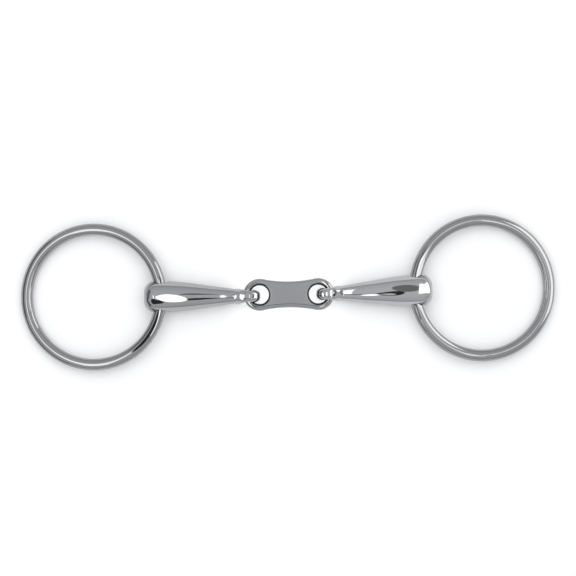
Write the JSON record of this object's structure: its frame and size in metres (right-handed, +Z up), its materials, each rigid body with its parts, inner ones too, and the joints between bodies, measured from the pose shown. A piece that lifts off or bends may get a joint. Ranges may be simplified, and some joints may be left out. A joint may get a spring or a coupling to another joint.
{
  "type": "loose-ring snaffle bit",
  "caption": "Loose-ring snaffle bit: tapered, drilled cannons jointed by a flat dog-bone link, with a round wire ring swinging in each butt.",
  "frame": {"origin": "bottom centre of the part's bounding box, on the surface it lies on", "axes": "+X along the mouthpiece towards the ring drawn on the right, +Y across it, +Z up off the surface the bit lies on"},
  "size_m": [0.2768, 0.0782, 0.0165],
  "materials": {
    "polished_steel": "mirror-polished stainless steel with fine hairline scratches"
  },
  "bodies": {
    "centre_link": {"centre_link": "polished_steel"},
    "left_cannon": {"left_cannon": "polished_steel"},
    "left_ring": {"left_ring": "polished_steel"},
    "right_cannon": {"right_cannon": "polished_steel"},
    "right_ring": {"right_ring": "polished_steel"}
  },
  "joints": [
    {"name": "left_cannon_fold", "type": "hinge", "parent": "centre_link", "child": "left_cannon", "pos_m": [-0.02123, -0.0017, 0.0062], "axis": [0.007, 1, 0], "range_deg": [-40, 40]},
    {"name": "right_cannon_fold", "type": "hinge", "parent": "centre_link", "child": "right_cannon", "pos_m": [0.02227, -0.0009, 0.0062], "axis": [0.0262, -0.9997, 0], "range_deg": [-40, 40]},
    {"name": "left_ring_swing", "type": "hinge", "parent": "left_cannon", "child": "left_ring", "pos_m": [-0.06608, -0.00138, 0.0083], "axis": [0.007, 1, 0], "range_deg": [-90, 90]},
    {"name": "right_ring_swing", "type": "hinge", "parent": "right_cannon", "child": "right_ring", "pos_m": [0.0661, 0.00025, 0.00829], "axis": [0.0262, -0.9997, 0], "range_deg": [-90, 90]}
  ]
}
